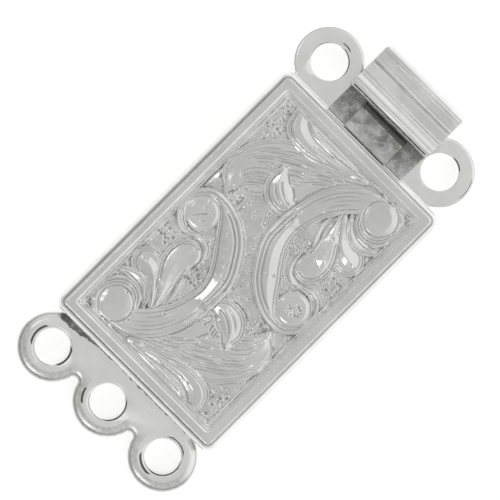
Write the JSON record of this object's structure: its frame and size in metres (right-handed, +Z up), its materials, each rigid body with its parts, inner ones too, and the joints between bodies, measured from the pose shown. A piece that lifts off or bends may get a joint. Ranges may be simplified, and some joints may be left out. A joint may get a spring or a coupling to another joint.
{
  "type": "three-strand box clasp",
  "caption": "Rectangular box clasp with a raised scroll-work panel, a row of rings at each end and a sprung tongue with a ribbed thumb tab.",
  "frame": {"origin": "middle of the box's back face, on the surface that the clasp lies on", "axes": "+X along the strands towards the tongue's rings, +Y across the strands, +Z up through the scroll-work panel"},
  "size_m": [0.0275, 0.0131, 0.0035],
  "materials": {
    "cover_plating": "bright silver-coloured plating over brass, polished crests on a stippled ground",
    "back_plating": "bright silver-coloured plating over brass, polished",
    "strip_plating": "silver-coloured plating over spring brass strip, with rolling marks",
    "tab_plating": "bright silver-coloured plating over brass, fine lines along the ribs"
  },
  "bodies": {
    "box": {"cover": "cover_plating", "back_plate": "back_plating"},
    "tongue": {"tongue_plate": "strip_plating"},
    "lever": {"spring_leaf": "strip_plating", "thumb_tab": "tab_plating"}
  },
  "joints": [
    {"name": "tongue_slide", "type": "slide", "parent": "box", "child": "tongue", "axis": [1, 0, 0], "range_m": [0, 0.014], "deforming": ["spring_leaf"]},
    {"name": "thumb_press", "type": "hinge", "parent": "tongue", "child": "lever", "pos_m": [-0.0032, 0, 0.00136], "axis": [0, 1, 0], "range_deg": [0, 2.7], "stiffness_Nm_per_rad": 0.8}
  ]
}
